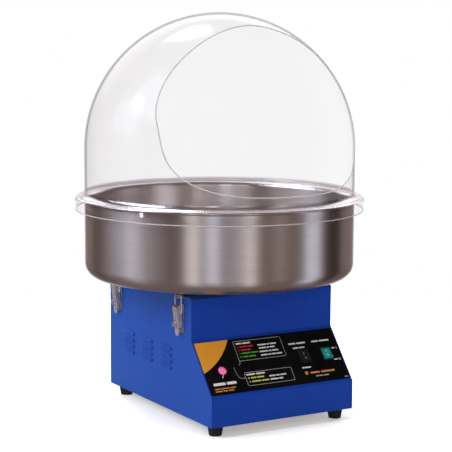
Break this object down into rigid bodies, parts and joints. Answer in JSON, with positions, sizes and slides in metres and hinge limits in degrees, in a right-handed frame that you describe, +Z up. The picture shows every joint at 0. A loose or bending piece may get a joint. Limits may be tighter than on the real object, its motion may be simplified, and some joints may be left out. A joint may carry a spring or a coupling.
{
  "type": "cotton candy machine",
  "caption": "Table-top cotton candy machine: sloped-front cabinet, round bowl on draw latches, motor-driven heated spinner head and lift-off clear dome with a front opening.",
  "frame": {"origin": "on the floor plane under the spinner's axis, at the middle of the feet's underside level", "axes": "+Z up along the spinner's axis, -Y towards the control panel and the operator, +X to the operator's right"},
  "size_m": [0.682, 0.6818, 0.931],
  "materials": {
    "blue_paint": "semi-gloss blue powder coat",
    "zinc_steel": "zinc-plated steel",
    "stainless": "brushed stainless steel",
    "bright_steel": "nickel-plated steel",
    "overlay": "printed polycarbonate film",
    "black_rubber": "moulded rubber",
    "black_plastic": "moulded plastic",
    "green_rocker": "translucent green plastic",
    "black_rocker": "moulded black plastic",
    "clear_dome": "clear polycarbonate",
    "white_plastic": "moulded plastic",
    "cast_aluminium": "machined aluminium",
    "ribbon_alloy": "nickel-chrome ribbon",
    "ceramic": "glazed ceramic",
    "motor_paint": "black enamel",
    "lamination": "stacked steel laminations",
    "copper": "enamelled copper wire",
    "brass": "turned brass",
    "phenolic": "brown phenolic board",
    "carbon": "pressed carbon",
    "circuit": "green circuit board"
  },
  "bodies": {
    "machine": {"cabinet_shell": "blue_paint", "back_panel": "blue_paint", "base_pan": "zinc_steel", "panel_screws": "zinc_steel", "control_overlay": "overlay", "foot_front_left": "black_rubber", "foot_front_right": "black_rubber", "foot_back_left": "black_rubber", "foot_back_right": "black_rubber", "foot_screws": "zinc_steel", "main_power_switch": "black_plastic", "heat_mode_switch": "black_plastic", "latch_base_front_left": "bright_steel", "latch_base_front_right": "bright_steel", "latch_base_back_left": "bright_steel", "latch_base_back_right": "bright_steel", "latch_pins": "bright_steel", "latch_rivets": "zinc_steel", "bowl_strikes": "stainless", "bowl": "stainless", "bowl_ring": "black_rubber", "motor_shell": "motor_paint", "stator_core": "lamination", "stator_windings": "copper", "upper_end_bell": "cast_aluminium", "lower_end_bell": "cast_aluminium", "bearings": "bright_steel", "motor_bolts": "zinc_steel", "motor_plate": "zinc_steel", "isolators": "black_rubber", "isolator_studs": "zinc_steel", "brush_holder": "phenolic", "carbon_brushes": "carbon", "control_board": "circuit", "power_inlet": "black_plastic"},
    "spinner": {"head_base": "cast_aluminium", "heating_ribbon": "ribbon_alloy", "insulator_rings": "ceramic", "head_band": "stainless", "head_cap": "cast_aluminium", "sugar_cup": "stainless", "head_screws": "zinc_steel", "head_nut": "cast_aluminium", "drive_shaft": "stainless", "motor_rotor": "lamination", "cooling_fan": "cast_aluminium", "slip_ring_hub": "phenolic", "slip_rings": "brass"},
    "dome": {"dome": "clear_dome", "dome_clips": "white_plastic"},
    "main_power_rocker": {"main_power_rocker": "green_rocker"},
    "heat_mode_rocker": {"heat_mode_rocker": "black_rocker"},
    "latch_lever_front_left": {"latch_lever_front_left": "bright_steel"},
    "latch_bail_front_left": {"latch_bail_front_left": "bright_steel"},
    "latch_lever_front_right": {"latch_lever_front_right": "bright_steel"},
    "latch_bail_front_right": {"latch_bail_front_right": "bright_steel"},
    "latch_lever_back_left": {"latch_lever_back_left": "bright_steel"},
    "latch_bail_back_left": {"latch_bail_back_left": "bright_steel"},
    "latch_lever_back_right": {"latch_lever_back_right": "bright_steel"},
    "latch_bail_back_right": {"latch_bail_back_right": "bright_steel"}
  },
  "joints": [
    {"name": "spinner_spin", "type": "hinge", "parent": "machine", "child": "spinner", "pos_m": [0, 0, 0.3], "axis": [0, 0, 1], "continuous": true},
    {"name": "main_power_rock", "type": "hinge", "parent": "machine", "child": "main_power_rocker", "pos_m": [0.1455, -0.24457, 0.14827], "axis": [1, 0, 0], "range_deg": [0, 18]},
    {"name": "heat_mode_rock", "type": "hinge", "parent": "machine", "child": "heat_mode_rocker", "pos_m": [0.084, -0.2452, 0.1475], "axis": [1, 0, 0], "range_deg": [0, 18]},
    {"name": "dome_lift", "type": "slide", "parent": "machine", "child": "dome", "axis": [0, 0, 1], "range_m": [0, 0.25]},
    {"name": "latch_front_left_open", "type": "hinge", "parent": "machine", "child": "latch_lever_front_left", "pos_m": [-0.1975, -0.155, 0.2715], "axis": [0, 1, 0], "range_deg": [0, 110]},
    {"name": "bail_front_left_swing", "type": "hinge", "parent": "latch_lever_front_left", "child": "latch_bail_front_left", "pos_m": [-0.195, -0.155, 0.263], "axis": [0, 1, 0], "range_deg": [-146, 0]},
    {"name": "latch_front_right_open", "type": "hinge", "parent": "machine", "child": "latch_lever_front_right", "pos_m": [0.1975, -0.155, 0.2715], "axis": [0, -1, 0], "range_deg": [0, 110]},
    {"name": "bail_front_right_swing", "type": "hinge", "parent": "latch_lever_front_right", "child": "latch_bail_front_right", "pos_m": [0.195, -0.155, 0.263], "axis": [0, -1, 0], "range_deg": [-146, 0]},
    {"name": "latch_back_left_open", "type": "hinge", "parent": "machine", "child": "latch_lever_back_left", "pos_m": [-0.1975, 0.155, 0.2715], "axis": [0, 1, 0], "range_deg": [0, 110]},
    {"name": "bail_back_left_swing", "type": "hinge", "parent": "latch_lever_back_left", "child": "latch_bail_back_left", "pos_m": [-0.195, 0.155, 0.263], "axis": [0, 1, 0], "range_deg": [-146, 0]},
    {"name": "latch_back_right_open", "type": "hinge", "parent": "machine", "child": "latch_lever_back_right", "pos_m": [0.1975, 0.155, 0.2715], "axis": [0, -1, 0], "range_deg": [0, 110]},
    {"name": "bail_back_right_swing", "type": "hinge", "parent": "latch_lever_back_right", "child": "latch_bail_back_right", "pos_m": [0.195, 0.155, 0.263], "axis": [0, -1, 0], "range_deg": [-146, 0]}
  ],
  "couplings": [
    {"joint": "bail_front_left_swing", "follows": "latch_front_left_open", "ratio": -1.32},
    {"joint": "bail_front_right_swing", "follows": "latch_front_right_open", "ratio": -1.32},
    {"joint": "bail_back_left_swing", "follows": "latch_back_left_open", "ratio": -1.32},
    {"joint": "bail_back_right_swing", "follows": "latch_back_right_open", "ratio": -1.32}
  ]
}
